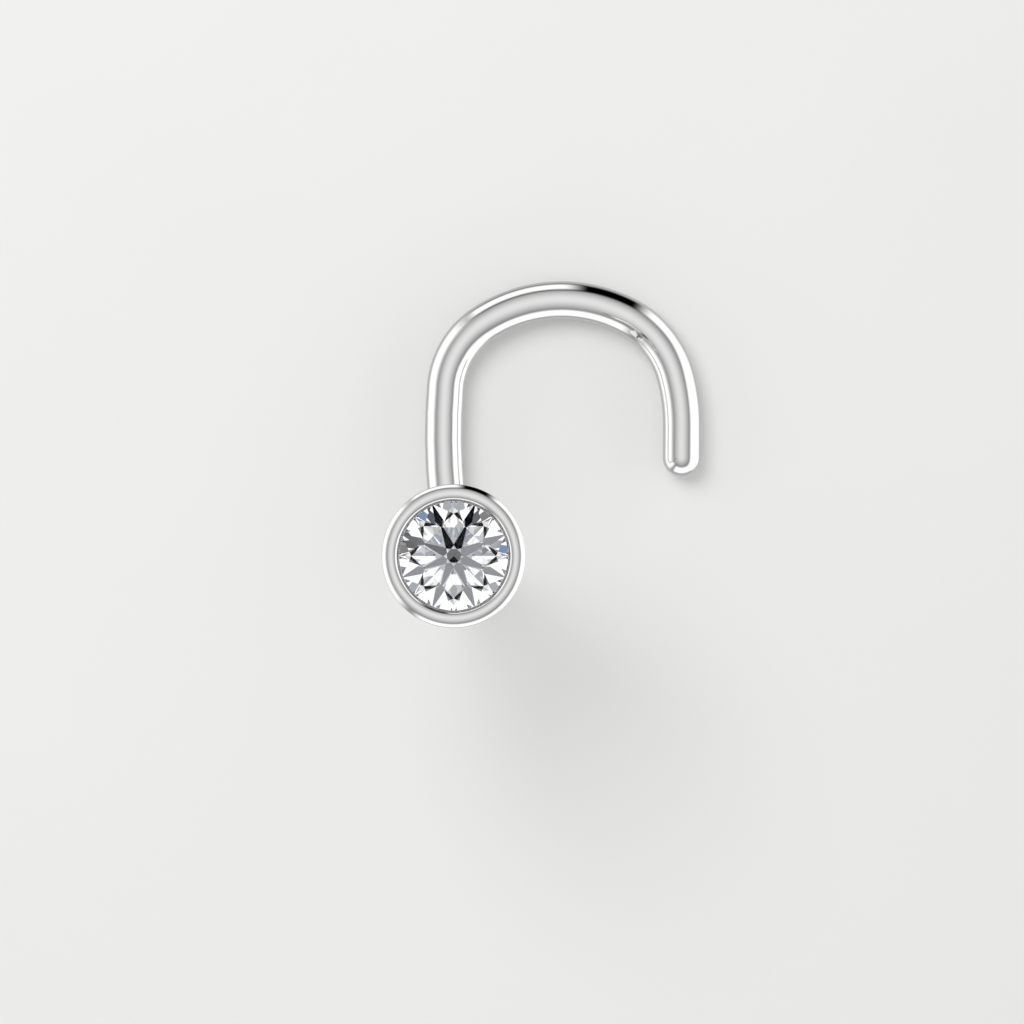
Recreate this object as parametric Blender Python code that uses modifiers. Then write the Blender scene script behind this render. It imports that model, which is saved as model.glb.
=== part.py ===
"""Nostril screw: a short straight post with a bezel-set round brilliant on one end
and a round wire on the other that turns square to the post and curls into an open hook.

It lies on its hook, with the post upright and the stone on top.
Sizes are in millimetres, +X runs from the post towards the hook's free leg.
"""
import math

import bmesh
import bpy
import numpy as np
from mathutils import Vector

MM = 0.001

# the wire
WIRE_D = 0.80            # 20 gauge, post and hook alike
POST_LENGTH = 6.00       # floor under the hook to the back of the bezel
BEND_R = 0.75            # centreline radius where the post turns into the hook
HOOK_HEADING = 98.32     # direction of the hook where it leaves the post, degrees from +X
# the hook's centreline as arcs that touch: length along the wire, bend radius
HOOK_ARCS = (
    (2.866, 12.673),
    (1.636, 1.796),
    (3.224, 3.056),
    (1.697, 2.033),
    (1.083, 4.086),
)
TIP_END_Y = 1.684        # lowest point of the free leg in plan
WIRE_SIDES = 24
ARC_STEP = 0.17          # longest step along a bend
TIP_STEPS = 6

# the stone
STONE_D = 2.35
TABLE = 0.552            # of the girdle diameter, corner to corner
CROWN_ANGLE = 36.2
PAVILION_ANGLE = 40.5
GIRDLE_HEIGHT = 0.11
STAR = 0.50              # star facets reach half way from table edge to girdle
LOWER_HALF = 0.78        # lower halves reach this far from girdle to culet
MAIN_AT = 22.5           # first pavilion main, degrees from +X
GIRDLE_SIDES = 64

# the bezel, from the stone outwards
CLEAR = 0.02             # gap kept between stone and metal
LIP_OVER = 0.023         # the lip covers this much of the stone's edge
RIM_IN_R = 0.150         # inner edge of the rim is rounded to this
RIM_OUT_R = 0.229        # and its outer edge to this
RIM_OUT_TURN = 60        # degrees of that rounding, from the crest to a crisp outer corner
STRAIGHT_HEIGHT = 0.85   # outer wall runs straight this far below the crest
BACK_TAPER = 0.35        # and then tapers in by this to the back
BACK_EDGE_R = 0.06       # rounded edge of the flat back, which lies against the nostril
SEAT_WIDTH = 0.175       # ledge under the stone, in from its girdle
CULET_GAP = 0.03         # air under the culet
BACK_THICKNESS = 0.24    # metal under that
TABLE_OVER_RIM = 0.02    # the table stands this far over the rim's crest
SOLDER_R = 0.12          # solder fillet where the post meets the back
SOLDER_EDGE = 0.01       # thickness of the fillet's edge on the post
TURN_STEPS = 96
FILLET_STEPS = 5
WELD = 0.0000001         # metres

wire_r = WIRE_D / 2
stone_r = STONE_D / 2
lip_r = stone_r - LIP_OVER
crest_r = lip_r + RIM_IN_R
bezel_r = crest_r + RIM_OUT_R * math.sin(math.radians(RIM_OUT_TURN))
back_r = bezel_r - BACK_TAPER
bore_r = stone_r - SEAT_WIDTH

crown_height = (1 - TABLE) * stone_r * math.tan(math.radians(CROWN_ANGLE))
pavilion_height = stone_r * math.tan(math.radians(PAVILION_ANGLE))
back_z = POST_LENGTH
cup_floor = back_z + BACK_THICKNESS
culet_z = cup_floor + CULET_GAP
girdle_low = culet_z + pavilion_height
girdle_top = girdle_low + GIRDLE_HEIGHT
table_z = girdle_top + crown_height
crest_z = table_z - TABLE_OVER_RIM


def empty_scene():
    for obj in list(bpy.data.objects):
        bpy.data.objects.remove(obj, do_unlink=True)


def collection(name, hidden=False):
    made = bpy.data.collections.new(name)
    bpy.context.scene.collection.children.link(made)
    made.hide_render = hidden
    return made


def metal():
    mat = bpy.data.materials.new("polished_white_gold")
    mat.use_nodes = True
    shader = mat.node_tree.nodes["Principled BSDF"]
    shader.inputs["Base Color"].default_value = (0.86, 0.86, 0.85, 1)
    shader.inputs["Metallic"].default_value = 1.0
    shader.inputs["Roughness"].default_value = 0.05
    return mat


def gem():
    mat = bpy.data.materials.new("diamond")
    mat.use_nodes = True
    shader = mat.node_tree.nodes["Principled BSDF"]
    shader.inputs["Base Color"].default_value = (1, 1, 1, 1)
    shader.inputs["Roughness"].default_value = 0.0
    shader.inputs["Transmission Weight"].default_value = 1.0
    shader.inputs["IOR"].default_value = 2.417
    return mat


def as_mesh(obj, home):
    """The evaluated object as a plain mesh in its place, and the source removed."""
    depsgraph = bpy.context.evaluated_depsgraph_get()
    mesh = bpy.data.meshes.new_from_object(obj.evaluated_get(depsgraph))
    made = bpy.data.objects.new(obj.name + "_solid", mesh)
    made.matrix_world = obj.matrix_world.copy()
    home.objects.link(made)
    bm = bmesh.new()
    bm.from_mesh(mesh)
    bmesh.ops.remove_doubles(bm, verts=bm.verts, dist=WELD)
    bmesh.ops.recalc_face_normals(bm, faces=bm.faces)
    bm.to_mesh(mesh)
    bm.free()
    bpy.data.objects.remove(obj, do_unlink=True)
    return made


def wire_path():
    """Centreline from the top of the post to the start of the rounded tip."""
    heading = math.radians(HOOK_HEADING)
    wire_z = wire_r
    points = [(0.0, 0.0, back_z + BACK_THICKNESS / 2), (0.0, 0.0, wire_z + BEND_R)]
    steps = math.ceil(BEND_R * math.pi / 2 / ARC_STEP) + 2
    for i in range(1, steps + 1):
        turn = math.pi / 2 * i / steps
        out = BEND_R * (1 - math.cos(turn))
        points.append((out * math.cos(heading), out * math.sin(heading),
                       wire_z + BEND_R * (1 - math.sin(turn))))
    x, y = BEND_R * math.cos(heading), BEND_R * math.sin(heading)
    for length, radius in HOOK_ARCS:
        steps = max(math.ceil(length / ARC_STEP / (1 + radius / 12)), 2)
        for i in range(1, steps + 1):
            turned = length * i / steps / radius
            points.append((x + radius * (math.sin(heading) - math.sin(heading - turned)),
                           y + radius * (math.cos(heading - turned) - math.cos(heading)),
                           wire_z))
        heading -= length / radius
        x, y = points[-1][:2]
    run = (y - TIP_END_Y - wire_r) / -math.sin(heading)
    points.append((x + run * math.cos(heading), y + run * math.sin(heading), wire_z))
    return points, heading


def make_wire(home):
    """Post and hook as one round wire with a half-round tip."""
    points, heading = wire_path()
    radii = [1.0] * len(points)
    x, y, z = points[-1]
    for i in range(1, TIP_STEPS + 1):
        angle = math.radians(86) * i / TIP_STEPS
        out = wire_r * math.sin(angle)
        points.append((x + out * math.cos(heading), y + out * math.sin(heading), z))
        radii.append(math.cos(angle))
    curve = bpy.data.curves.new("wire", "CURVE")
    curve.dimensions = "3D"
    curve.twist_mode = "MINIMUM"
    curve.bevel_depth = wire_r * MM
    curve.bevel_resolution = WIRE_SIDES // 2 - 2
    curve.use_fill_caps = True
    spline = curve.splines.new("POLY")
    spline.points.add(len(points) - 1)
    for point, place, radius in zip(spline.points, points, radii):
        point.co = (*[v * MM for v in place], 1)
        point.radius = radius
    obj = bpy.data.objects.new("wire", curve)
    home.objects.link(obj)
    return as_mesh(obj, home)


def arc(cx, cz, radius, start, stop, steps=FILLET_STEPS):
    """Points on an arc in the X Z plane, angles in degrees from +X towards +Z."""
    return [(cx + radius * math.cos(math.radians(start + (stop - start) * i / steps)),
             cz + radius * math.sin(math.radians(start + (stop - start) * i / steps)))
            for i in range(steps + 1)]


def crown_rise(run):
    """Height of the crown's steepest edge this far in from the girdle."""
    star_tip = star_radius()
    rise = (1 - star_tip * math.cos(math.pi / 8)) / (1 - star_tip)
    return run * rise * math.tan(math.radians(CROWN_ANGLE))


def star_radius():
    """Where star and crown mains meet, as a share of the girdle radius."""
    edge = TABLE * math.cos(math.pi / 8)
    return edge + STAR * (1 - edge)


def pavilion_slope():
    """Drop per unit of radius along the edge between two lower halves."""
    tip = 1 - LOWER_HALF
    share = (1 - tip * math.cos(math.pi / 8)) / (1 - tip)
    return share * math.tan(math.radians(PAVILION_ANGLE))


def cup_profile():
    """Half section of the bezel cup from the outer top round to the inner bottom."""
    slope = pavilion_slope()
    pocket_r = stone_r + CLEAR
    seat_gap = CLEAR * math.hypot(1, slope)
    seat_top = girdle_low + (pocket_r - stone_r) * slope - seat_gap
    seat_low = girdle_low - (stone_r - bore_r) * slope - seat_gap
    lean = math.degrees(math.atan2(BACK_TAPER, crest_z - STRAIGHT_HEIGHT - back_z))
    outer = arc(crest_r, crest_z - RIM_OUT_R, RIM_OUT_R, 90, 90 - RIM_OUT_TURN)
    outer.append((bezel_r, crest_z - STRAIGHT_HEIGHT))
    outer += arc(back_r - BACK_EDGE_R, back_z + BACK_EDGE_R, BACK_EDGE_R, -lean, -90)
    outer += arc(wire_r + SOLDER_EDGE + SOLDER_R, back_z - SOLDER_R, SOLDER_R, 90, 180)
    outer.append((0, back_z - SOLDER_R))
    inner = [(0, cup_floor), (bore_r, cup_floor), (bore_r, seat_low),
             (pocket_r, seat_top), (pocket_r, girdle_top + CLEAR),
             (lip_r, girdle_top + crown_rise(stone_r - lip_r) + CLEAR)]
    inner += arc(crest_r, crest_z - RIM_IN_R, RIM_IN_R, 180, 90)[:-1]
    return outer, inner


def turned(name, profile, home):
    """A profile turned round the post's axis."""
    mesh = bpy.data.meshes.new(name)
    mesh.from_pydata([(r * MM, 0, z * MM) for r, z in profile],
                     [(i, i + 1) for i in range(len(profile) - 1)], [])
    obj = bpy.data.objects.new(name, mesh)
    home.objects.link(obj)
    screw = obj.modifiers.new("turn", "SCREW")
    screw.axis = "Z"
    screw.angle = math.tau
    screw.steps = TURN_STEPS
    screw.render_steps = TURN_STEPS
    screw.use_merge_vertices = True
    screw.merge_threshold = WELD
    return as_mesh(obj, home)


def make_cup(home):
    outer, inner = cup_profile()
    loop = outer + inner + [outer[0]]
    return turned("cup", loop, home)


def make_setting(home, cutters, mat):
    """Bezel cup, post and hook soldered into one piece of metal."""
    cup = make_cup(home)
    wire = make_wire(cutters)
    wire.display_type = "WIRE"
    wire.hide_render = True
    cup.name = "bezel_and_hook"
    cup.data.name = cup.name
    joint = cup.modifiers.new("solder", "BOOLEAN")
    joint.operation = "UNION"
    joint.solver = "EXACT"
    joint.object = wire
    cup.data.materials.clear()
    cup.data.materials.append(mat)
    return cup


def facet_plane(a, b, c):
    """Plane through three points, with its normal away from the stone's middle."""
    a, b, c = Vector(a), Vector(b), Vector(c)
    normal = (b - a).cross(c - a).normalized()
    middle = Vector((0, 0, girdle_low))
    if normal.dot(a - middle) < 0:
        normal.negate()
    return a, normal


def polar(radius, degrees, z):
    return (radius * math.cos(math.radians(degrees)), radius * math.sin(math.radians(degrees)), z)


def stone_planes():
    """Every facet of a round brilliant, from its angles and shares."""
    crown = math.tan(math.radians(CROWN_ANGLE))
    pavilion = math.tan(math.radians(PAVILION_ANGLE))
    star_r = star_radius() * stone_r
    star_z = girdle_top + (stone_r - star_r * math.cos(math.pi / 8)) * crown
    half_r = (1 - LOWER_HALF) * stone_r
    half_z = girdle_low - (stone_r - half_r * math.cos(math.pi / 8)) * pavilion
    table_r = TABLE * stone_r
    planes = [(Vector((0, 0, table_z)), Vector((0, 0, 1)))]
    for k in range(8):
        at = MAIN_AT + 45 * k
        side = Vector((math.cos(math.radians(at)), math.sin(math.radians(at)), 0))
        planes.append((side * stone_r + Vector((0, 0, girdle_top)),
                       Vector((side.x * crown, side.y * crown, 1)).normalized()))
        planes.append((side * stone_r + Vector((0, 0, girdle_low)),
                       Vector((side.x * pavilion, side.y * pavilion, -1)).normalized()))
        tip = polar(star_r, at + 22.5, star_z)
        planes.append(facet_plane(polar(table_r, at, table_z), polar(table_r, at + 45, table_z), tip))
        low = polar(half_r, at + 22.5, half_z)
        for near in (at, at + 45):
            planes.append(facet_plane(tip, polar(stone_r, near, girdle_top),
                                      polar(stone_r, at + 22.5, girdle_top)))
            planes.append(facet_plane(low, polar(stone_r, near, girdle_low),
                                      polar(stone_r, at + 22.5, girdle_low)))
    return planes


def make_stone(home, mat):
    """A cylinder of girdle size with every facet cut off it in turn."""
    bm = bmesh.new()
    bmesh.ops.create_cone(bm, cap_ends=True, segments=GIRDLE_SIDES, radius1=stone_r,
                          radius2=stone_r, depth=3 * stone_r)
    middle = (table_z + culet_z) / 2
    bmesh.ops.translate(bm, verts=bm.verts, vec=(0, 0, middle))
    for place, normal in stone_planes():
        cut = bmesh.ops.bisect_plane(bm, geom=bm.verts[:] + bm.edges[:] + bm.faces[:], dist=1e-6,
                                     plane_co=place, plane_no=normal, clear_outer=True)
        rim = [e for e in cut["geom_cut"] if isinstance(e, bmesh.types.BMEdge)]
        if rim:
            bmesh.ops.contextual_create(bm, geom=rim)
    bmesh.ops.scale(bm, vec=(MM, MM, MM), verts=bm.verts)
    bmesh.ops.remove_doubles(bm, verts=bm.verts, dist=WELD)
    bmesh.ops.recalc_face_normals(bm, faces=bm.faces)
    mesh = bpy.data.meshes.new("stone")
    bm.to_mesh(mesh)
    bm.free()
    mesh.materials.append(mat)
    obj = bpy.data.objects.new("stone", mesh)
    home.objects.link(obj)
    return obj


def centre_on_floor(objects):
    """Put the middle of the whole outline over the origin and its lowest point on the floor."""
    depsgraph = bpy.context.evaluated_depsgraph_get()
    corners = []
    for obj in objects:
        done = obj.evaluated_get(depsgraph)
        mesh = done.to_mesh()
        corners += [obj.matrix_world @ v.co for v in mesh.vertices]
        done.to_mesh_clear()
    cloud = np.array([tuple(c) for c in corners])
    low, high = cloud.min(axis=0), cloud.max(axis=0)
    shift = Vector((-(low[0] + high[0]) / 2, -(low[1] + high[1]) / 2, -low[2]))
    return shift


def main():
    empty_scene()
    home = collection("nose_screw")
    cutters = collection("joined_pieces", hidden=True)
    setting = make_setting(home, cutters, metal())
    stone = make_stone(home, gem())
    bpy.context.view_layer.update()
    shift = centre_on_floor([setting, stone])
    for obj in (setting, stone, *cutters.objects):
        for vertex in obj.data.vertices:
            vertex.co += shift
    bpy.context.view_layer.update()


main()
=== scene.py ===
"""A nose screw stud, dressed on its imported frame.

A polished white gold bezel, post and hook, made here as one smooth skin over the plain
solid, and a round brilliant that keeps its own solid and gets a real diamond finish.
The stud lies on its hook on a pale floor, and the camera looks straight down on the stone.
"""
import math
from typing import NamedTuple

import bmesh
import bpy
from bpy.props import FloatProperty, FloatVectorProperty, IntProperty, PointerProperty
from bpy.types import Operator, Panel, PropertyGroup
from mathutils import Matrix, Vector


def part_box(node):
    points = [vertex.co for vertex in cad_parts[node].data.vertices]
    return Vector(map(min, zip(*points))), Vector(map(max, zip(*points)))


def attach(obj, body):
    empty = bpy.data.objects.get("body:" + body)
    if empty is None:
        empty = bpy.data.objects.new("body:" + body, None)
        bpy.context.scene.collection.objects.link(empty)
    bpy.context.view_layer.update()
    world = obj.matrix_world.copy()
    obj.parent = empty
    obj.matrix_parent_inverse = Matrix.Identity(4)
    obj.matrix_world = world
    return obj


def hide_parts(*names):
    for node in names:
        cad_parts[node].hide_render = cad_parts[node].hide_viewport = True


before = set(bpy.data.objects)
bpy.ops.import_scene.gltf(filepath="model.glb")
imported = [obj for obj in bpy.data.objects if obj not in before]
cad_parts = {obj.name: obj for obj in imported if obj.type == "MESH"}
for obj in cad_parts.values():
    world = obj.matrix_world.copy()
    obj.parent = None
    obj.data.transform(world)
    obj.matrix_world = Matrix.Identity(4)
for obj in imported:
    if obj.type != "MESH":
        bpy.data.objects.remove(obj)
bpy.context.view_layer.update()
STONE_LOW, STONE_HIGH = (Vector(corner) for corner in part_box("stone"))
STONE_MIDDLE = (STONE_LOW + STONE_HIGH) / 2
RIM_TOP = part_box("bezel_and_hook")[1][2]

bl_info = {
    "name": "Nose screw stud",
    "version": (1, 0, 0),
    "blender": (4, 5, 0),
    "location": "View3D > Sidebar > Nose screw",
    "description": "Builds a bezel-set nose screw stud and the table that it lies on",
    "category": "Add Mesh",
}

MM = 0.001

# The hook's centreline as arcs that touch, in mm: length along the wire, bend radius.
HOOK_ARCS = (
    (2.866, 12.673),
    (1.636, 1.796),
    (3.224, 3.056),
    (1.697, 2.033),
    (1.083, 4.086),
)

# The stone's edges between two facets are steeper than its facets: 1.02 times on the pavilion,
# and with this slope on the crown.
PAVILION_EDGE_GAIN = 1.02
CROWN_EDGE_SLOPE = 0.904
# Share of the stone's radius past which a corner of the stone belongs to its girdle.
GIRDLE_SHARE = 0.99

# Steps round a rounding of the rim, a small edge, the post's bend and the tip, and the turn in
# degrees that one step along the hook makes, roughly.
RIM_STEPS = 14
EDGE_STEPS = 8
BEND_STEPS = 24
TIP_STEPS = 16
HOOK_STEP = 2.5
# Points this close are one, and an edge sharper than this angle stays crisp.
WELD = 1e-8
CRISP = math.radians(35)

# Name of the mesh's own mark for where the buffing wheel reaches.
BUFFED = "buffed"

# Half of the floor's side in metres.
FLOOR_HALF = 3.0
# A round softbox above the stud, up and to the left: place, width and power, in m and W.
LAMP_PLACE = Vector((-0.05, 0.06, 0.12))
LAMP_WIDTH = 0.09
LAMP_POWER = 0.082
# The camera looks straight down from a little to the side of the stone's middle. Its lens and
# sensor are in mm, as in Blender.
CAMERA_ASIDE = Vector((1.219, 0.920, 0)) * MM
CAMERA_HEIGHT = 304.6 * MM
LENS = 500
SENSOR = 36
# What lies behind the floor, and the white tent round the stone.
BACKDROP = "EFEFEF"
TENT = (1.1, 1.1, 1.12, 1.0)
# The overhead panel: its middle and spread across and along in degrees, and its strength. It
# ends between the last two angles, down from straight above.
PANEL_MIDDLE = (-2, 5)
PANEL_SPREAD = (50, 62)
PANEL_STRENGTH = 0.95
PANEL_FULL = 53
PANEL_GONE = 70
# Half width of a card that goes all the way round, soft sides and all.
ALL_ROUND = 190.0


class Card(NamedTuple):
    """A card of light round the stud, as a photographer would set it up. Angles in degrees."""

    middle: float       # direction of its middle round from +X
    half: float         # half of its width
    edge: float         # softness of its two sides
    begins: float       # where it starts, down from straight above
    fade_in: float      # softness there
    ends: float         # where it stops
    fade_out: float     # softness there
    strength: float
    colour: str = "FFFFFF"


# Light that the metal shows: a grey glow from below, then white boxes. The gap between the
# right and the top boxes is what draws the black line along the hook.
METAL_CARDS = (
    Card(0, ALL_ROUND, 5, 121, 15, 200, 10, 0.56),
    Card(2, 54, 7, 64, 10, 124, 16, 1.30),
    Card(352, 35, 10, 59, 10, 126, 16, 1.30),
    Card(356, 18, 8, 55, 9, 128, 16, 1.30),
    Card(106, 21, 5, 70, 9, 111, 11, 1.30),
    Card(178, 48, 13, 60, 14, 122, 14, 1.30),
    Card(275, 39, 8, 64, 10, 116, 11, 1.30),
)

# Light that comes up through the stone, painted in this order over a bright tent. The dark
# cards give its arrows and star points their greys and blacks.
STONE_CARDS = (
    Card(0, ALL_ROUND, 5, 5.5, 0.5, 9, 0.5, 0.62),
    Card(0, ALL_ROUND, 5, 9, 0.4, 15, 0.4, 0.31, "F4F7FF"),
    Card(160, 30, 5, 9, 0.4, 15, 0.4, 0.17, "F4F7FF"),
    Card(90, 35, 5, 8, 0.4, 15, 0.4, 0.006, "9FB4FF"),
    Card(0, ALL_ROUND, 5, 15, 0.3, 18, 0.3, 0.50),
    Card(150, 38, 5, 16, 0.3, 18, 0.3, 0.24),
    Card(80, 45, 5, 20.5, 0.3, 22.2, 0.2, 0.14, "DDE6FF"),
    Card(115, 15, 5, 20.5, 0.3, 23, 0.2, 0.13),
    Card(0, ALL_ROUND, 5, 25.2, 1, 31, 1, 0.25),
    Card(180, 25, 5, 31, 0.5, 33, 0.5, 0.30),
    Card(95, 80, 5, 34, 1, 43, 1, 0.45, "F2F7FF"),
    Card(112, 18, 5, 37, 0.5, 43, 1, 0.22),
    Card(70, 18, 5, 37, 0.5, 43, 1, 0.42, "BCD7FF"),
    Card(0, ALL_ROUND, 5, 46, 1, 52, 1, 0.16),
    Card(90, 35, 5, 46, 1, 52, 1, 0.01, "8FA9FF"),
    Card(0, ALL_ROUND, 5, 56, 0.5, 59, 0.5, 0.50),
    Card(0, ALL_ROUND, 5, 59.0, 0.4, 64, 1, 0.01),
)


def linear(code):
    """A six digit sRGB hex colour as linear red, green, blue and alpha."""
    parts = [int(code[i:i + 2], 16) / 255 for i in (0, 2, 4)]
    return [p / 12.92 if p <= 0.04045 else ((p + 0.055) / 1.055) ** 2.4 for p in parts] + [1.0]


class StudSizes(PropertyGroup):
    wire: FloatProperty(
        name="Wire", description="Diameter of the post and hook", default=0.80 * MM,
        unit="LENGTH", precision=6)
    bend: FloatProperty(
        name="Bend", description="Centreline radius where the post turns into the hook",
        default=0.75 * MM, unit="LENGTH", precision=6)
    heading: FloatProperty(
        name="Hook heading", description="Direction in which the hook leaves the post",
        default=math.radians(98.32), subtype="ANGLE")
    tip_reach: FloatProperty(
        name="Tip", description="How far the hook's tip stays short of the post's axis, along Y",
        default=1.684 * MM, unit="LENGTH", precision=6)
    clearance: FloatProperty(
        name="Clearance", description="Gap between the stone and the metal", default=0.02 * MM,
        unit="LENGTH", precision=6)
    lip: FloatProperty(
        name="Lip", description="How much of the stone's edge the lip covers",
        default=0.042 * MM, unit="LENGTH", precision=6)
    rim_in: FloatProperty(
        name="Rim inside", description="Radius of the rim's inner rounding",
        default=0.169 * MM, unit="LENGTH", precision=6)
    rim_out: FloatProperty(
        name="Rim outside", description="Radius of the rim's outer rounding",
        default=0.229 * MM, unit="LENGTH", precision=6)
    rim_turn: FloatProperty(
        name="Rim turn", description="Outer rounding, from the crest to the crisp outer corner",
        default=math.radians(60), subtype="ANGLE")
    corner: FloatProperty(
        name="Corner", description="How far polishing has broken the crisp outer corner",
        default=0.012 * MM, unit="LENGTH", precision=6)
    straight: FloatProperty(
        name="Straight wall", description="How far the outer wall runs straight below the crest",
        default=0.85 * MM, unit="LENGTH", precision=6)
    taper: FloatProperty(
        name="Taper", description="How far the wall then tapers in to the back",
        default=0.35 * MM, unit="LENGTH", precision=6)
    back_edge: FloatProperty(
        name="Back edge", description="Rounded edge of the flat back", default=0.06 * MM,
        unit="LENGTH", precision=6)
    seat: FloatProperty(
        name="Seat", description="Width of the ledge under the stone", default=0.175 * MM,
        unit="LENGTH", precision=6)
    culet_gap: FloatProperty(
        name="Air under the stone", description="From the stone's point to the cup's floor",
        default=0.03 * MM, unit="LENGTH", precision=6)
    floor_thickness: FloatProperty(
        name="Cup floor", description="Metal between the cup and the flat back",
        default=0.24 * MM, unit="LENGTH", precision=6)
    solder: FloatProperty(
        name="Solder", description="Radius of the solder fillet round the post",
        default=0.12 * MM, unit="LENGTH", precision=6)
    solder_edge: FloatProperty(
        name="Solder edge", description="Thickness of the fillet where it meets the post",
        default=0.01 * MM, unit="LENGTH", precision=6)
    sides: IntProperty(
        name="Sides", description="Facets round the wire and the bezel", default=128, min=24)


class StudFinish(PropertyGroup):
    gold: FloatVectorProperty(
        name="White gold", description="Colour of the rhodium-plated white gold", size=4,
        subtype="COLOR", min=0, max=1, default=linear("E9E9E9"))
    gold_haze: FloatVectorProperty(
        name="Hazed gold", description="Colour where the buff has left a faint haze", size=4,
        subtype="COLOR", min=0, max=1, default=linear("E4E4E3"))
    stone: FloatVectorProperty(
        name="Stone", description="Body colour of the stone", size=4,
        subtype="COLOR", min=0, max=1, default=linear("FFFFFF"))
    floor: FloatVectorProperty(
        name="Floor", description="Colour of the painted board", size=4,
        subtype="COLOR", min=0, max=1, default=linear("EDEDEC"))
    floor_shade: FloatVectorProperty(
        name="Floor mottle", description="Colour of the paint's darker mottle", size=4,
        subtype="COLOR", min=0, max=1, default=linear("E9E9E8"))


def add_node(tree, kind, inputs=None, **settings):
    """Add a node, give it its settings, and give or link each input."""
    node = tree.nodes.new(kind)
    for key, value in settings.items():
        setattr(node, key, value)
    for key, value in (inputs or {}).items():
        if isinstance(value, bpy.types.NodeSocket):
            tree.links.new(value, node.inputs[key])
        else:
            node.inputs[key].default_value = value
    return node


def new_material(name):
    """A material with an empty node tree."""
    mat = bpy.data.materials.new(name)
    mat.use_nodes = True
    mat.node_tree.nodes.clear()
    return mat


def polished_white_gold(finish):
    """14 karat white gold, rhodium plated and mirror polished on a buffing wheel.

    The plating is almost neutral. The buff leaves a mirror with a faint haze in patches,
    and swirl lines a few thousandths of a millimetre wide, drawn ten times as coarse here.
    It can't reach into the cup, which keeps the satin skin of the setting burr.
    """
    mat = new_material("polished rhodium-plated white gold")
    tree = mat.node_tree
    place = add_node(tree, "ShaderNodeTexCoord").outputs["Object"]
    haze = add_node(tree, "ShaderNodeTexNoise", {
        "Vector": place, "Scale": 1 / (0.9 * MM), "Detail": 3.0, "Roughness": 0.5})
    swirl_place = add_node(tree, "ShaderNodeMapping", {
        "Vector": place, "Rotation": (0.0, 0.0, math.radians(25)), "Scale": (1.0, 0.12, 0.4)})
    swirl = add_node(tree, "ShaderNodeTexNoise", {
        "Vector": swirl_place.outputs[0], "Scale": 1 / (0.03 * MM), "Detail": 2.0})
    colour = add_node(tree, "ShaderNodeMix", {0: haze.outputs["Fac"], 6: finish.gold,
                                              7: finish.gold_haze}, data_type="RGBA")
    polish = add_node(tree, "ShaderNodeMapRange", {
        "Value": haze.outputs["Fac"], "From Min": 0.35, "From Max": 0.70,
        "To Min": 0.035, "To Max": 0.060})
    buffed = add_node(tree, "ShaderNodeAttribute", attribute_name=BUFFED).outputs["Fac"]
    skin = add_node(tree, "ShaderNodeMix", {0: buffed, 2: 0.5, 3: polish.outputs[0]})
    lines = add_node(tree, "ShaderNodeBump", {
        "Height": swirl.outputs["Fac"], "Strength": 0.02, "Distance": 0.002 * MM})
    shader = add_node(tree, "ShaderNodeBsdfPrincipled", {
        "Base Color": colour.outputs[2], "Metallic": 1.0, "Roughness": skin.outputs[0],
        "Normal": lines.outputs[0]})
    add_node(tree, "ShaderNodeOutputMaterial", {"Surface": shader.outputs[0]})
    return mat


def diamond(finish):
    """Diamond, cut and polished on a scaife, with a refractive index of 2.417.

    The facets are clear and sharp, and only the girdle keeps the frosted skin of bruting,
    whose grain of a hundredth of a millimetre is drawn four times as coarse. The table's
    head-on mirror image is turned nearly off by a near-black specular tint, which is painted
    shade on its reflection.
    """
    mat = new_material("polished diamond")
    tree = mat.node_tree
    coords = add_node(tree, "ShaderNodeTexCoord")
    up = add_node(tree, "ShaderNodeSeparateXYZ", {0: coords.outputs["Normal"]}).outputs["Z"]
    tilt = add_node(tree, "ShaderNodeMath", {0: up}, operation="ABSOLUTE").outputs[0]
    girdle = add_node(tree, "ShaderNodeMapRange", {
        "Value": tilt, "From Min": 0.10, "From Max": 0.05})
    grain = add_node(tree, "ShaderNodeTexNoise", {
        "Vector": coords.outputs["Object"], "Scale": 1 / (0.04 * MM), "Detail": 2.0})
    frost = add_node(tree, "ShaderNodeMath", {
        0: girdle.outputs[0], 1: grain.outputs["Fac"]}, operation="MULTIPLY")
    # The near-black specular tint is painted shade that dims the stone's mirror image of the
    # lamps.
    shader = add_node(tree, "ShaderNodeBsdfPrincipled", {
        "Base Color": finish.stone, "Roughness": frost.outputs[0], "IOR": 2.417,
        "Transmission Weight": 1.0, "Specular Tint": (0.04, 0.04, 0.04, 1.0)})
    add_node(tree, "ShaderNodeOutputMaterial", {"Surface": shader.outputs[0]})
    return mat


def painted_board(finish):
    """Fibreboard sprayed with matt white paint, which dries with a fine pebbled skin."""
    mat = new_material("matt painted board")
    tree = mat.node_tree
    place = add_node(tree, "ShaderNodeTexCoord").outputs["Object"]
    mottle = add_node(tree, "ShaderNodeTexNoise", {
        "Vector": place, "Scale": 1 / (9 * MM), "Detail": 4.0})
    colour = add_node(tree, "ShaderNodeMix", {0: mottle.outputs["Fac"], 6: finish.floor,
                                              7: finish.floor_shade}, data_type="RGBA")
    pebbles = add_node(tree, "ShaderNodeTexNoise", {
        "Vector": place, "Scale": 1 / (0.5 * MM), "Detail": 2.0})
    skin = add_node(tree, "ShaderNodeBump", {
        "Height": pebbles.outputs["Fac"], "Strength": 0.08, "Distance": 0.05 * MM})
    shader = add_node(tree, "ShaderNodeBsdfPrincipled", {
        "Base Color": colour.outputs[2], "Roughness": 0.9, "Specular IOR Level": 0.2,
        "Normal": skin.outputs[0]})
    add_node(tree, "ShaderNodeOutputMaterial", {"Surface": shader.outputs[0]})
    return mat


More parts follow.
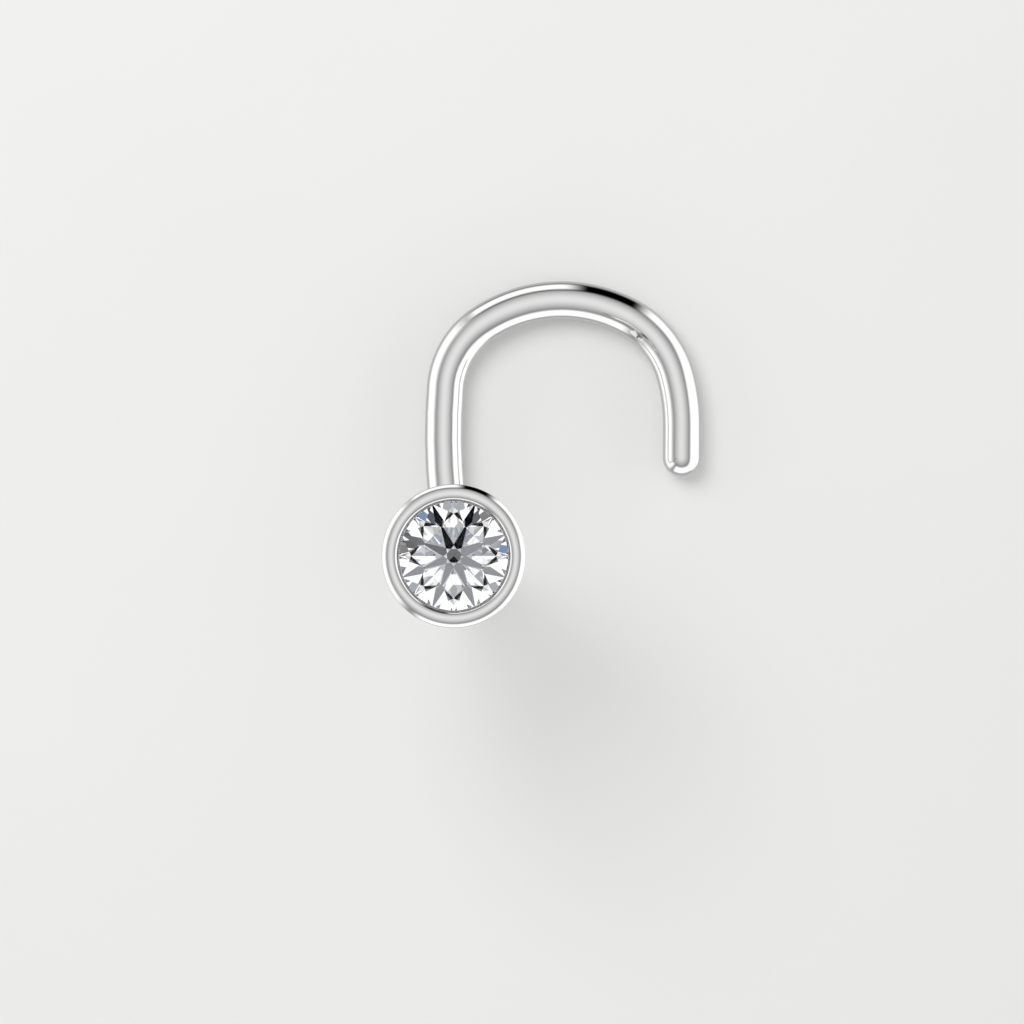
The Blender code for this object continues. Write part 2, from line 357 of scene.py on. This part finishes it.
def finished(bm, name, mat):
    """Turn a bmesh into a smooth object in the scene."""
    bmesh.ops.remove_doubles(bm, verts=bm.verts, dist=WELD)
    bmesh.ops.recalc_face_normals(bm, faces=bm.faces)
    mesh = bpy.data.meshes.new(name)
    bm.to_mesh(mesh)
    bm.free()
    mesh.shade_smooth()
    mesh.set_sharp_from_angle(angle=CRISP)
    mesh.materials.append(mat)
    obj = bpy.data.objects.new(name, mesh)
    bpy.context.scene.collection.objects.link(obj)
    return obj


def draw_line(bm, vert, r, z):
    """Carry an outline on from vert to radius r and height z, and give its new end."""
    end = bm.verts.new((r, 0, z))
    bm.edges.new((vert, end))
    return end


def draw_arc(bm, vert, r, z, turn, steps=RIM_STEPS):
    """Carry an outline on round a centre at radius r and height z, and give its new end."""
    made = bmesh.ops.spin(bm, geom=[vert], cent=(r, 0, z), axis=(0, 1, 0), angle=turn,
                          steps=steps, use_duplicate=False)
    return next(g for g in made["geom_last"] if isinstance(g, bmesh.types.BMVert))


def open_ring(bm):
    """The edges and vertices of the one open end of a skin."""
    edges = [e for e in bm.edges if len(e.link_faces) == 1]
    return edges, list({v for e in edges for v in e.verts})


def carry_on(bm, move):
    """Extrude the open end and move it."""
    edges, _ = open_ring(bm)
    made = bmesh.ops.extrude_edge_only(bm, edges=edges)
    ring = [g for g in made["geom"] if isinstance(g, bmesh.types.BMVert)]
    bmesh.ops.translate(bm, verts=ring, vec=move)
    return ring


def bend(bm, cent, axis, angle, steps):
    """Sweep the open end round a centre."""
    edges, verts = open_ring(bm)
    bmesh.ops.spin(bm, geom=edges + verts, cent=cent, axis=axis, angle=angle, steps=steps,
                   use_duplicate=False)


def bezel_outline(bm, sizes):
    """Half section of the cup from the middle of its floor, over the rim, to the post.

    The outline is marked where the buffing wheel reaches, from the rim outwards.
    """
    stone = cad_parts["stone"].data
    stone_r = (STONE_HIGH.x - STONE_LOW.x) / 2
    girdle = [v.co.z for v in stone.vertices
              if (v.co - STONE_MIDDLE).xy.length > GIRDLE_SHARE * stone_r]
    girdle_low, girdle_top = min(girdle), max(girdle)
    pavilion = PAVILION_EDGE_GAIN * (girdle_low - STONE_LOW.z) / stone_r

    gap = sizes.clearance
    pocket_r = stone_r + gap
    bore_r = stone_r - sizes.seat
    lip_r = stone_r - sizes.lip
    crest_r = lip_r + sizes.rim_in
    crest = RIM_TOP
    cup_floor = STONE_LOW.z - sizes.culet_gap
    back = cup_floor - sizes.floor_thickness
    seat_gap = gap * math.hypot(1, pavilion)

    vert = bm.verts.new((0, 0, cup_floor))
    vert = draw_line(bm, vert, bore_r, cup_floor)
    vert = draw_line(bm, vert, bore_r, girdle_low - sizes.seat * pavilion - seat_gap)
    vert = draw_line(bm, vert, pocket_r, girdle_low + gap * pavilion - seat_gap)
    vert = draw_line(bm, vert, pocket_r, girdle_top + gap)
    vert = draw_line(bm, vert, lip_r, girdle_top + sizes.lip * CROWN_EDGE_SLOPE + gap)
    inside = set(bm.verts)
    vert = draw_line(bm, vert, lip_r, crest - sizes.rim_in)
    vert = draw_arc(bm, vert, crest_r, crest - sizes.rim_in, math.radians(90))
    vert = draw_arc(bm, vert, crest_r, crest - sizes.rim_out, sizes.rim_turn)
    bezel_r = vert.co.x
    back_r = bezel_r - sizes.taper
    vert = draw_line(bm, vert, bezel_r + sizes.corner / 10, vert.co.z - sizes.corner)
    vert = draw_line(bm, vert, bezel_r, crest - sizes.straight)
    lean = math.atan2(sizes.taper, crest - sizes.straight - back)
    edge = sizes.back_edge
    vert = draw_line(bm, vert, back_r - edge + edge * math.cos(lean),
                     back + edge - edge * math.sin(lean))
    vert = draw_arc(bm, vert, back_r - edge, back + edge, math.radians(90) - lean, EDGE_STEPS)
    foot_r = sizes.wire / 2 + sizes.solder_edge + sizes.solder
    vert = draw_line(bm, vert, foot_r, back)
    vert = draw_arc(bm, vert, foot_r, back - sizes.solder, math.radians(-90), EDGE_STEPS)
    draw_line(bm, vert, sizes.wire / 2, back - sizes.solder)
    buffed = bm.verts.layers.float.new(BUFFED)
    for vert in bm.verts:
        vert[buffed] = 0.0 if vert in inside else 1.0


def sweep_hook(bm, sizes):
    """Carry the post down, round its bend, along the hook and over the rounded tip."""
    radius = sizes.wire / 2
    _, verts = open_ring(bm)
    post_end = radius + sizes.bend
    carry_on(bm, (0, 0, post_end - verts[0].co.z))
    ahead = Vector((math.cos(sizes.heading), math.sin(sizes.heading), 0))
    side = Vector((-ahead.y, ahead.x, 0))
    bend(bm, Vector((0, 0, post_end)) + ahead * sizes.bend, side, -math.pi / 2, BEND_STEPS)
    place = ahead * sizes.bend + Vector((0, 0, radius))
    heading = sizes.heading
    for length, bend_radius in HOOK_ARCS:
        length, bend_radius = length * MM, bend_radius * MM
        turn = length / bend_radius
        ahead = Vector((math.cos(heading), math.sin(heading), 0))
        cent = place + Vector((ahead.y, -ahead.x, 0)) * bend_radius
        bend(bm, cent, (0, 0, 1), -turn, max(1, round(math.degrees(turn) / HOOK_STEP)))
        place = cent + Matrix.Rotation(-turn, 3, "Z") @ (place - cent)
        heading -= turn
    ahead = Vector((math.cos(heading), math.sin(heading), 0))
    run = (place.y - sizes.tip_reach - radius) / -ahead.y
    carry_on(bm, ahead * run)
    round_tip(bm, place + ahead * run, ahead, radius)


def round_tip(bm, place, ahead, radius):
    """Close the open end with a half ball."""
    for i in range(1, TIP_STEPS):
        was, now = math.pi / 2 * (i - 1) / TIP_STEPS, math.pi / 2 * i / TIP_STEPS
        ring = carry_on(bm, ahead * radius * (math.sin(now) - math.sin(was)))
        centre = place + ahead * radius * math.sin(now)
        bmesh.ops.scale(bm, verts=ring, space=Matrix.Translation(-centre),
                        vec=[math.cos(now) / math.cos(was)] * 3)
    ring = carry_on(bm, (0, 0, 0))
    bmesh.ops.pointmerge(bm, verts=ring, merge_co=place + ahead * radius)


class NOSESCREW_OT_setting(Operator):
    """Build the bezel cup, the post and the hook as one polished skin"""

    bl_idname = "nosescrew.setting"
    bl_label = "Bezel, post and hook"

    def execute(self, context):
        sizes = context.scene.stud_sizes
        bm = bmesh.new()
        bezel_outline(bm, sizes)
        bmesh.ops.spin(bm, geom=bm.verts[:] + bm.edges[:], cent=(0, 0, 0), axis=(0, 0, 1),
                       angle=math.tau, steps=sizes.sides, use_merge=True, use_duplicate=False)
        bmesh.ops.remove_doubles(bm, verts=bm.verts, dist=WELD)
        sweep_hook(bm, sizes)
        bmesh.ops.translate(bm, verts=bm.verts, vec=(STONE_MIDDLE.x, STONE_MIDDLE.y, 0))
        obj = finished(bm, "setting_and_hook", polished_white_gold(context.scene.stud_finish))
        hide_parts("bezel_and_hook")
        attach(obj, "root")
        return {"FINISHED"}


class NOSESCREW_OT_stone(Operator):
    """Give the stone its diamond finish"""

    bl_idname = "nosescrew.stone"
    bl_label = "Stone"

    def execute(self, context):
        mat = diamond(context.scene.stud_finish)
        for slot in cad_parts["stone"].material_slots:
            slot.material = mat
        return {"FINISHED"}


def paint_cards(tree, light, cards, flat, down):
    """Paint each card over the light that is there, and give the light that results."""
    for card in cards:
        toward = (math.cos(math.radians(card.middle)), math.sin(math.radians(card.middle)), 0)
        facing = add_node(tree, "ShaderNodeVectorMath", {0: flat, 1: toward},
                          operation="DOT_PRODUCT").outputs["Value"]
        turn = add_node(tree, "ShaderNodeMath", {0: facing}, operation="ARCCOSINE").outputs[0]
        cover = None
        for angle, outside, inside in (
                (turn, card.half + card.edge, card.half - card.edge),
                (down, card.begins - card.fade_in, card.begins + card.fade_in),
                (down, card.ends + card.fade_out, card.ends - card.fade_out)):
            side = add_node(tree, "ShaderNodeMapRange", {
                "Value": angle, "From Min": math.radians(outside),
                "From Max": math.radians(inside)}, interpolation_type="SMOOTHSTEP").outputs[0]
            cover = side if cover is None else add_node(
                tree, "ShaderNodeMath", {0: cover, 1: side}, operation="MULTIPLY").outputs[0]
        colour = [part * card.strength for part in linear(card.colour)[:3]] + [1.0]
        light = add_node(tree, "ShaderNodeMix", {0: cover, 6: light, 7: colour},
                         data_type="RGBA").outputs[2]
    return light


def overhead_panel(tree, flat, down):
    """A panel over the stud that glows in its middle and fades to its edge."""
    middle = [math.radians(angle) for angle in PANEL_MIDDLE] + [0]
    spread = [math.radians(angle) for angle in PANEL_SPREAD] + [1]
    spot = add_node(tree, "ShaderNodeVectorMath", {0: flat, "Scale": down}, operation="SCALE")
    off = add_node(tree, "ShaderNodeVectorMath", {0: spot.outputs[0], 1: middle},
                   operation="SUBTRACT")
    share = add_node(tree, "ShaderNodeVectorMath", {0: off.outputs[0], 1: spread},
                     operation="DIVIDE").outputs[0]
    square = add_node(tree, "ShaderNodeVectorMath", {0: share, 1: share},
                      operation="DOT_PRODUCT").outputs["Value"]
    fade = add_node(tree, "ShaderNodeMath", {0: math.exp(-1), 1: square}, operation="POWER")
    edge = add_node(tree, "ShaderNodeMapRange", {
        "Value": down, "From Min": math.radians(PANEL_GONE), "From Max": math.radians(PANEL_FULL),
        "To Max": PANEL_STRENGTH}, interpolation_type="SMOOTHSTEP")
    return add_node(tree, "ShaderNodeMath", {0: fade.outputs[0], 1: edge.outputs[0]},
                    operation="MULTIPLY").outputs[0]


def studio_world():
    """World with one set of cards for the metal and another for the light in the stone."""
    world = bpy.data.worlds.new("studio")
    world.use_nodes = True
    tree = world.node_tree
    tree.nodes.clear()
    way = add_node(tree, "ShaderNodeTexCoord").outputs["Generated"]
    axes = add_node(tree, "ShaderNodeSeparateXYZ", {0: way})
    down = add_node(tree, "ShaderNodeMath", {0: axes.outputs["Z"]},
                    operation="ARCCOSINE").outputs[0]
    level = add_node(tree, "ShaderNodeCombineXYZ", {
        0: axes.outputs["X"], 1: axes.outputs["Y"]}).outputs[0]
    flat = add_node(tree, "ShaderNodeVectorMath", {0: level}, operation="NORMALIZE").outputs[0]

    metal_light = paint_cards(tree, overhead_panel(tree, flat, down), METAL_CARDS, flat, down)
    tent = add_node(tree, "ShaderNodeRGB")
    tent.outputs[0].default_value = TENT
    stone_light = paint_cards(tree, tent.outputs[0], STONE_CARDS, flat, down)

    ray = add_node(tree, "ShaderNodeLightPath").outputs
    seen = add_node(tree, "ShaderNodeMix", {
        0: ray["Is Transmission Ray"], 6: metal_light, 7: stone_light}, data_type="RGBA")
    seen = add_node(tree, "ShaderNodeMix", {
        0: ray["Is Camera Ray"], 6: seen.outputs[2], 7: linear(BACKDROP)}, data_type="RGBA")
    glow = add_node(tree, "ShaderNodeBackground", {"Color": seen.outputs[2]})
    add_node(tree, "ShaderNodeOutputWorld", {"Surface": glow.outputs[0]})
    return world


class NOSESCREW_OT_stage(Operator):
    """Lay the floor, light it and set the camera"""

    bl_idname = "nosescrew.stage"
    bl_label = "Floor, light and camera"

    def execute(self, context):
        scene = context.scene
        bm = bmesh.new()
        bmesh.ops.create_grid(bm, x_segments=1, y_segments=1, size=FLOOR_HALF)
        floor = finished(bm, "floor", painted_board(scene.stud_finish))
        floor.visible_glossy = False
        floor.visible_transmission = False

        scene.world = studio_world()

        lamp = bpy.data.lights.new("overhead softbox", "AREA")
        lamp.shape = "DISK"
        lamp.size = LAMP_WIDTH
        lamp.energy = LAMP_POWER
        lamp_obj = bpy.data.objects.new("overhead softbox", lamp)
        lamp_obj.location = LAMP_PLACE
        lamp_obj.rotation_euler = (-LAMP_PLACE).to_track_quat("-Z", "Y").to_euler()
        lamp_obj.visible_glossy = False
        lamp_obj.visible_transmission = False
        scene.collection.objects.link(lamp_obj)

        camera = bpy.data.cameras.new("camera")
        camera.lens = LENS
        camera.sensor_width = SENSOR
        camera.clip_start = 0.01
        camera.clip_end = 10
        cam = bpy.data.objects.new("camera", camera)
        cam.location = STONE_MIDDLE + CAMERA_ASIDE
        cam.location.z = CAMERA_HEIGHT
        scene.collection.objects.link(cam)
        scene.camera = cam

        scene.view_settings.view_transform = "Standard"
        scene.view_settings.look = "None"
        scene.cycles.max_bounces = 32
        scene.cycles.glossy_bounces = 24
        scene.cycles.transmission_bounces = 24
        return {"FINISHED"}


class NOSESCREW_PT_panel(Panel):
    """Lists the stud's pieces"""

    bl_idname = "NOSESCREW_PT_panel"
    bl_label = "Nose screw"
    bl_space_type = "VIEW_3D"
    bl_region_type = "UI"
    bl_category = "Nose screw"

    def draw(self, context):
        for kind in PIECES:
            self.layout.operator(kind.bl_idname)
        for group in (context.scene.stud_sizes, context.scene.stud_finish):
            for name in group.__annotations__:
                self.layout.prop(group, name)


PIECES = (NOSESCREW_OT_setting, NOSESCREW_OT_stone, NOSESCREW_OT_stage)
CLASSES = (StudSizes, StudFinish, *PIECES, NOSESCREW_PT_panel)


def register():
    for kind in CLASSES:
        bpy.utils.register_class(kind)
    bpy.types.Scene.stud_sizes = PointerProperty(type=StudSizes)
    bpy.types.Scene.stud_finish = PointerProperty(type=StudFinish)


def unregister():
    del bpy.types.Scene.stud_finish
    del bpy.types.Scene.stud_sizes
    for kind in reversed(CLASSES):
        bpy.utils.unregister_class(kind)


def main():
    register()
    bpy.ops.nosescrew.setting()
    bpy.ops.nosescrew.stone()
    bpy.ops.nosescrew.stage()


if __name__ == "__main__":
    main()
